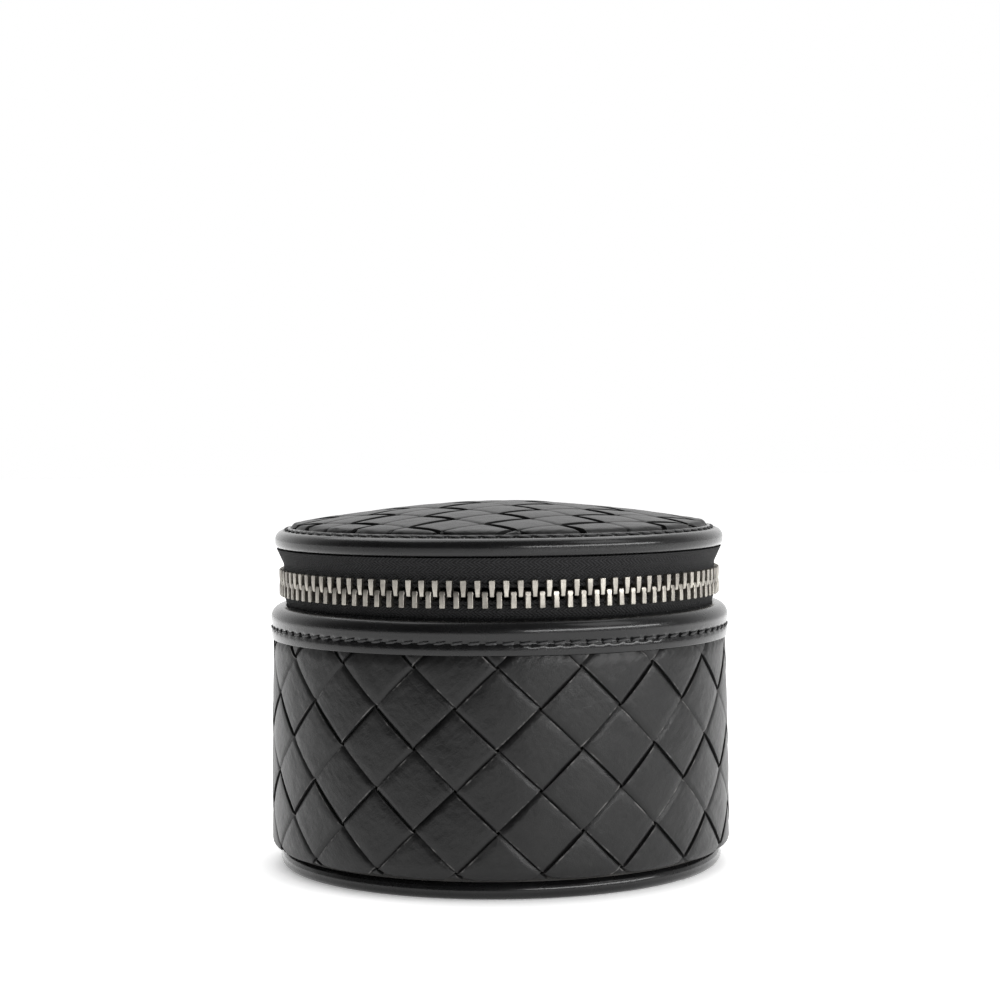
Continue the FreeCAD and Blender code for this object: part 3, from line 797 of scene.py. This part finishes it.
def makeSlider():
    # two curved plates with turned-in sides, joined by the wedge that parts the rows
    look = sliderLook
    half = look["halfHigh"]
    bm = bmesh.new()
    sweep = look["long"] / 37.4
    for back, front, lip in ((look["frontOut"], look["frontIn"], 37.92),
                             (look["backIn"], look["backOut"], 36.56)):
        outline = [Vector(point) for point in (
            (back, chain - half), (lip, chain - half), (lip, chain - half + look["flange"]),
            (front, chain - half + look["flange"]), (front, chain + half - look["flange"]),
            (lip, chain + half - look["flange"]), (lip, chain + half), (back, chain + half))]
        plate = spun(outline, 14, sweep, sliderAt - sweep / 2)
        add(bm, plate)
        plate.free()
    for vert in bm.verts:
        place = (around(vert.co) - sliderAt) / sweep  # -0.5 where the zip closes, 0.5 where it parts
        narrow = 1 - look["narrow"] * min(max(0.5 - place, 0.0), 1.0) ** 1.5
        vert.co.z = chain * mm + (vert.co.z - chain * mm) * narrow
    neck = spun([Vector(point) for point in ((36.0, chain - 0.8), (38.8, chain - 0.8),
                                             (38.8, chain + 0.8), (36.0, chain + 0.8))],
                6, 3.4 / 37.4, sliderAt + 0.1 / 37.4)
    for vert in neck.verts:
        place = (around(vert.co) - sliderAt) * 37.4 / 3.4
        vert.co.z = chain * mm + (vert.co.z - chain * mm) * (0.35 + 0.65 * min(place * 1.4, 1.0))
    add(bm, neck)
    neck.free()
    made = piece("sliderBody", bm, "slider", "slider_metal", ("slider_body",))
    modifier(made, "BEVEL", width=0.2 * mm, segments=3, limit_method="ANGLE", angle_limit=math.radians(40),
             harden_normals=True)
    return made


def makeBridge():
    # an arched bar over the front plate that holds the puller
    bm = bmesh.new()
    inner, outer, half = 2.4, 3.1, 0.8
    section = ((inner, -half), (outer, -half), (outer, half), (inner, half))
    corners = [bm.verts.new((0, y * mm, z * mm)) for y, z in section]
    edges = [bm.edges.new((corners[number - 1], corner)) for number, corner in enumerate(corners)]
    face = bm.faces.new(corners)
    bmesh.ops.spin(bm, geom=corners + edges + [face], axis=(0, 0, 1), angle=-math.pi, steps=20)
    bmesh.ops.recalc_face_normals(bm, faces=bm.faces)
    for vert in bm.verts:
        reach = math.hypot(vert.co.x, vert.co.y) / mm
        rise = (1.7 + (reach - inner)) / reach  # lower than a half circle
        square = abs(vert.co.x / mm / reach) ** 0.6 if vert.co.x else 0.0
        vert.co.x = (39.36 + square * rise * reach) * mm
    bmesh.ops.transform(bm, verts=bm.verts, matrix=Matrix.Rotation(sliderAt - math.pi / 2, 4, "Z")
                        @ Matrix.Translation((0, 0, chain * mm)))
    made = piece("sliderBridge", bm, "slider", "slider_metal", ("slider_bridge",))
    modifier(made, "BEVEL", width=0.18 * mm, segments=3, limit_method="ANGLE", angle_limit=math.radians(50),
             harden_normals=True)
    return made


def flatShape(outlines, thick, bevel):
    # closed outlines in millimetres, the later ones holes, as a plate with rounded edges
    curve = bpy.data.curves.new("plate", "CURVE")
    curve.dimensions = "2D"
    curve.fill_mode = "BOTH"
    curve.extrude = (thick / 2 - bevel) * mm
    curve.bevel_depth = bevel * mm
    curve.bevel_resolution = 2
    for outline in outlines:
        spline = curve.splines.new("POLY")
        spline.points.add(len(outline) - 1)
        spline.use_cyclic_u = True
        for point, (x, y) in zip(spline.points, outline):
            point.co = (x * mm, y * mm, 0, 1)
    holder = bpy.data.objects.new("plate", curve)
    mesh = bpy.data.meshes.new_from_object(holder)
    bm = bmesh.new()
    bm.from_mesh(mesh)
    bpy.data.objects.remove(holder)
    bpy.data.curves.remove(curve)
    bpy.data.meshes.remove(mesh)
    bmesh.ops.remove_doubles(bm, verts=bm.verts, dist=1e-6)
    bmesh.ops.recalc_face_normals(bm, faces=bm.faces)
    return bm


def makePuller():
    # a tapered tab with an eye for the bridge and a hole at the tip
    inset = 0.16  # the rounded edge stands this far out of the outline
    body = rounded([(-0.45, -1.75, 0.7), (2.6, -2.1, 1.2), (12.4, -2.1, 2.05), (12.4, 2.1, 2.05),
                    (2.6, 2.1, 1.2), (-0.45, 1.75, 0.7)], 8)
    eye = rounded([(0.45, -1.25, 0.35), (0.45, 1.25, 0.35), (4.35, 1.25, 0.9), (4.35, -1.25, 0.9)], 6)
    hole = [(10.3 + 0.9 * math.cos(turn), 0.9 * math.sin(turn))
            for turn in (2 * math.pi * step / 28 for step in range(28))]

    def drawnIn(outline, amount):
        middle = sum((Vector(point) for point in outline), Vector((0, 0))) / len(outline)
        return [Vector(point) - (Vector(point) - middle).normalized() * amount for point in outline]
    bm = flatShape([drawnIn(body, inset), drawnIn(eye, -inset), drawnIn(hole, -inset)], 0.9, inset)
    stand = Matrix(((0, 0, 1, 40.35 * mm), (1, 0, 0, 0), (0, 1, 0, chain * mm), (0, 0, 0, 1)))
    bmesh.ops.transform(bm, verts=bm.verts, matrix=Matrix.Rotation(sliderAt - math.pi / 2, 4, "Z") @ stand)
    return piece("pullerTab", bm, "puller", "slider_metal", ("puller",))


makeTapes()
makeTeeth("teethLower", "case", "zip_teeth_lower", 1, 87, firstTooth)
makeTeeth("teethUpper", "lid", "zip_teeth_upper", -1, 86, firstTooth + toothTurn / 2)
makeStops("stopsLower", "case", "zip_stops_lower", 1)
makeStops("stopsUpper", "lid", "zip_stops_upper", -1)
makeSlider()
makeBridge()
makePuller()
print("zip set")


# leather hinge at the back


def makeHinge():
    sweep = math.radians(40)
    rows = [(38.0, 45.35 + 9.7 * step / 36) for step in range(37)]
    outline = [Vector((38.8, z)) for x, z in rows] + [Vector((38.0, z)) for x, z in reversed(rows)]
    bm = spun(outline, 40, sweep, math.pi - sweep / 2)
    edge = sweep / 2

    def crease(co):
        # a soft fold along the chain's line, and edges pressed thin where they are sewn
        height = co.z / mm - chain
        fold = -0.16 * mm * math.exp(-(height / 0.9) ** 2)
        near = abs(math.remainder(around(co) - math.pi, 2 * math.pi))
        press = -0.12 * mm * math.exp(-(((edge - near) * 38.8 - 1.3) / 0.35) ** 2)
        outer = 1 if math.hypot(co.x, co.y) > 38.4 * mm else 0
        return Vector((co.x, co.y, 0)).normalized() * (fold + press * outer)
    shift(bm, crease)
    made = piece("hingeLeather", bm, None, "black_leather", ("hinge_lower", "hinge_upper"))
    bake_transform(made)
    return made


makeHinge()
print("hinge made")


# inside

stuffing = {
    "size": 10.0,  # the cloth is worked ten times as large, where it behaves best
    "voxel": 0.006,
    "pressure": 4.0,
    "frames": 20,
    "most": 0.0065,  # how far the fabric may swell, at the larger size
}


def stuffed(bm, held):
    # remeshes a pad and lets cloth swell between the places where it is held
    look = stuffing
    grown = look["size"]
    bmesh.ops.scale(bm, verts=bm.verts, vec=(grown, grown, grown))
    mesh = bpy.data.meshes.new("stuffed")
    bm.to_mesh(mesh)
    bm.free()
    pad = bpy.data.objects.new("stuffed", mesh)
    scene.collection.objects.link(pad)
    modifier(pad, "REMESH", mode="VOXEL", voxel_size=look["voxel"])
    depsgraph = bpy.context.evaluated_depsgraph_get()
    even = bpy.data.meshes.new_from_object(pad.evaluated_get(depsgraph))
    pad.modifiers.clear()
    pad.data = even
    group = pad.vertex_groups.new(name="held")
    before = [vert.co.copy() for vert in even.vertices]
    for vert in even.vertices:
        group.add([vert.index], held(vert.co / grown), "REPLACE")
    cloth = pad.modifiers.new("cloth", "CLOTH")
    cloth.settings.quality = 5
    cloth.settings.mass = 0.3
    cloth.settings.tension_stiffness = 12
    cloth.settings.compression_stiffness = 12
    cloth.settings.bending_stiffness = 0.4
    cloth.settings.use_pressure = True
    cloth.settings.uniform_pressure_force = look["pressure"]
    cloth.settings.vertex_group_mass = "held"
    cloth.settings.effector_weights.gravity = 0
    cloth.collision_settings.use_collision = False
    for frameNumber in range(1, look["frames"] + 1):
        scene.frame_set(frameNumber)
    swollen = pad.evaluated_get(bpy.context.evaluated_depsgraph_get()).to_mesh()
    for vert, start, end in zip(even.vertices, before, swollen.vertices):
        move = end.co - start
        vert.co = start + move * min(1.0, look["most"] / max(move.length, 1e-9))
    out = bmesh.new()
    out.from_mesh(even)
    scene.frame_set(1)
    bpy.data.objects.remove(pad)
    bmesh.ops.smooth_vert(out, verts=out.verts, factor=0.5, use_axis_x=True, use_axis_y=True, use_axis_z=True)
    bmesh.ops.scale(out, verts=out.verts, vec=(1 / grown, 1 / grown, 1 / grown))
    return out


def clamped(amount):
    return min(max(amount, 0.0), 1.0)


def makeLining():
    outline = rounded([(35.85, 3.05, 0), (36.65, 3.05, 0), (36.65, 45.3, 0.3), (35.85, 45.3, 0.35)], 4)
    return piece("wallLining", spun(outline, 240), "case", "suede", ("wall_lining",))


def makeLidLining():
    seam = 31.5
    outline = rounded([(0.01, 54.45, 0), (34.6, 54.47, 3.0), (35.85, 55.5, 0.5),
                       (35.85, 55.95, 0.1), (0.01, 55.95, 0)], 6)

    def rows(before, point):
        return max(1, round((point - before).length / 1.2))

    def held(co):
        radius = math.hypot(co.x, co.y) / mm
        return clamped(max((radius - 34.6) / 0.8, (co.z / mm - 55.2) / 0.3, 1.6 - abs(radius - seam)))
    bm = stuffed(spun(divided(outline, rows), 180), held)

    def quilt(co):
        # drawn in at a sewn line near the edge
        if co.z > 55.3 * mm:
            return Vector()
        away = (math.hypot(co.x, co.y) / mm - seam) / 0.8
        return Vector((0, 0, 0.45 * mm * math.exp(-away ** 2)))
    shift(bm, quilt)
    made = piece("lidLining", bm, "lid", "suede", ("lid_lining",))
    return made


def makeFloorPad():
    outline = rounded([(0.01, 2.5, 0), (35.55, 2.5, 0.2), (35.75, 3.2, 0.3),
                       (35.75, 5.45, 1.0), (0.01, 5.5, 0)], 6)

    def held(co):
        return clamped(max((math.hypot(co.x, co.y) / mm - 34.6) / 0.8, (4.2 - co.z / mm) / 0.4))
    made = piece("floorPad", stuffed(spun(outline, 180), held), "case", "suede", ("floor_pad",))
    return made


def walled(name, node, low, high, bevel):
    # an upright block whose ends follow the round lining
    bm = bmesh.new()
    bmesh.ops.create_cone(bm, cap_ends=True, segments=160, radius1=35.75 * mm, radius2=35.75 * mm,
                          depth=(high[2] - low[2]) * mm)
    bmesh.ops.translate(bm, verts=bm.verts, vec=(0, 0, (low[2] + high[2]) / 2 * mm))
    for axis in (0, 1):
        for bound, side in ((low[axis], -1), (high[axis], 1)):
            if abs(bound) >= 35.75:
                continue
            where = Vector((0, 0, 0))
            where[axis] = bound * mm
            way = Vector((0, 0, 0))
            way[axis] = side
            bmesh.ops.bisect_plane(bm, geom=bm.verts[:] + bm.edges[:] + bm.faces[:], dist=1e-7,
                                   plane_co=where, plane_no=way, clear_outer=True)
            rim = [edge for edge in bm.edges if edge.is_boundary]
            bmesh.ops.holes_fill(bm, edges=rim, sides=0)
    bmesh.ops.recalc_face_normals(bm, faces=bm.faces)
    made = piece(name, bm, "case", "suede", (node,))
    modifier(made, "BEVEL", width=bevel * mm, segments=4, limit_method="ANGLE", angle_limit=math.radians(50),
             harden_normals=True)
    return made


def makeRoll(name, node, middle):
    # a stuffed roll, its ends following the round lining
    bm = bmesh.new()
    rounding = 2.2
    thick = 4.75  # it swells to its size
    outline = [Vector((0.02, -1.0))]
    for step in range(9):
        turn = math.pi / 2 * step / 8
        x = thick - rounding + rounding * math.sin(turn)
        outline.append(Vector((x, -1.0 + 0.08 * (1 - math.cos(turn)))))
    outline += [Vector((thick, -0.92 + 1.84 * step / 40)) for step in range(1, 40)]
    outline += [Vector((point.x, -point.y)) for point in reversed(outline[:10])]
    corners = [bm.verts.new((x, 0.0, z)) for x, z in outline]
    edges = [bm.edges.new(pair) for pair in zip(corners, corners[1:])]
    bmesh.ops.spin(bm, geom=corners + edges, axis=(0, 0, 1), angle=2 * math.pi, steps=48, use_merge=True)
    bmesh.ops.holes_fill(bm, edges=[edge for edge in bm.edges if edge.is_boundary], sides=0)
    bmesh.ops.recalc_face_normals(bm, faces=bm.faces)
    for vert in bm.verts:
        x, y, t = vert.co
        reach = math.sqrt(35.4 ** 2 - (middle + y) ** 2) if middle + y < 35 else 0
        vert.co = Vector((t * reach, middle + y, 29.25 + x)) * mm
    bmesh.ops.recalc_face_normals(bm, faces=bm.faces)

    def held(co):
        # sewn down along the bed and gathered at both ends
        reach = math.sqrt(max(35.4 ** 2 - (co.y / mm) ** 2, 1.0))
        return clamped(max((25.6 - co.z / mm) / 0.8, (abs(co.x / mm) - reach + 2.0) / 0.8))
    bm = stuffed(bm, held)
    made = piece(name, bm, "case", "suede", (node,))
    return made


makeLining()
makeLidLining()
makeFloorPad()
walled("dividerAcross", "divider_across", (-36, -0.8, 5.55), (36, 0.8, 34.0), 0.6)
walled("dividerFront", "divider_front", (-0.8, -36, 5.55), (0.8, -0.85, 34.0), 0.6)
walled("ringBed", "ring_bed", (-36, 0.85, 5.55), (36, 36, 24.0), 0.8)
makeRoll("ringRollFront", "ring_roll_front", 6.2)
makeRoll("ringRollMiddle", "ring_roll_middle", 16.9)
makeRoll("ringRollBack", "ring_roll_back", 27.6)
print("inside fitted")

slots = {part["node"]: part["material_slot"] for part in frame["record"]["subparts"]}
for node, thing in frame["nodes"].items():  # CAD pieces that stay take their slot's finish
    thing.data.materials.clear()
    thing.data.materials.append(finishes[slots[node]])


# stage, light and camera


def makeStage():
    bm = bmesh.new()
    bmesh.ops.create_grid(bm, x_segments=1, y_segments=1, size=3.0)
    mesh = bpy.data.meshes.new("floor")
    bm.to_mesh(mesh)
    bm.free()
    floor = bpy.data.objects.new("floor", mesh)
    scene.collection.objects.link(floor)
    # the paper glows to stand in for the light falling on it
    paper = Finish("paper", **{"Roughness": 0.9, "Specular IOR Level": 0.1, "Emission Strength": 0.68})
    x, y, z = paper.axes(paper.place())
    away = ((x * x + y * y) ** 0.5).ramp(0.034, 0.048)  # painted contact shadow: the paper's glow is dimmed close to the case
    paper.set("Emission Color", paper.shades(away, (0.0, (0.38, 0.38, 0.38)), (1.0, (1.0, 1.0, 1.0))))
    grain = paper.noise(paper.place(), 300, 2.0)
    paper.set("Base Color", paper.shades(grain, (0.0, (0.93, 0.93, 0.93)), (1.0, (0.96, 0.96, 0.96))))
    mesh.materials.append(paper.material)


def softbox(name, place, aim, size, power, tint=(1, 1, 1)):
    data = bpy.data.lights.new(name, "AREA")
    data.shape = "RECTANGLE"
    data.size, data.size_y = size
    data.energy = power
    data.color = tint
    lamp = bpy.data.objects.new(name, data)
    scene.collection.objects.link(lamp)
    lamp.location = place
    lamp.rotation_euler = (Vector(aim) - Vector(place)).to_track_quat("-Z", "Y").to_euler()


studio = {
    "front": 0.068,  # brightness of the room behind the camera
    "side": 0.165,
    "back": 1.0,
    "key": 1.1,
    "strip": 4.6,
    "top": 6.5,
}


def makeLight():
    world = bpy.data.worlds.new("studio")
    world.use_nodes = True
    scene.world = world
    tree = world.node_tree
    backdrop = tree.nodes["Background"]
    backdrop.inputs["Color"].default_value = (1, 1, 1, 1)
    room = Finish("studio", tree)
    x, y, z = room.axes(room.place("Generated"))
    behind = y.ramp(-0.1, 1.0)
    before = (y * -1.0).ramp(-0.1, 0.8)
    light = studio["side"] * (1 - before) + studio["front"] * before
    light = light + (studio["back"] - studio["side"]) * behind
    seen = room.node("ShaderNodeLightPath", {}, {})
    tree.links.new((seen + (1 - seen) * (light + x * 0.06 + z * 0.03)).socket, backdrop.inputs["Strength"])
    softbox("keyLight", (0.62, -0.28, 0.72), (0, 0, 0.04), (0.42, 0.42), studio["key"])
    softbox("stripLight", (0.56, -0.50, 0.24), (0, 0, 0.05), (1.1, 0.11), studio["strip"])
    softbox("topLight", (-0.05, 0.35, 0.95), (0, 0.05, 0.0), (1.2, 0.9), studio["top"])


def makeCamera():
    data = bpy.data.cameras.new("camera")
    data.sensor_width = 36.0
    data.lens = 2350.9 / 1000 * 36.0
    data.shift_x = 0.0015
    camera = bpy.data.objects.new("camera", data)
    scene.collection.objects.link(camera)
    pitch = Matrix.Rotation(math.radians(90 - 1.884), 4, "X")
    roll = Matrix.Rotation(-0.0077, 4, "Z")
    camera.matrix_world = Matrix.Translation((0.0, -0.41287, 0.07667)) @ pitch @ roll
    scene.camera = camera
    scene.view_settings.view_transform = "Standard"


makeStage()
makeLight()
makeCamera()
print("stage lit")
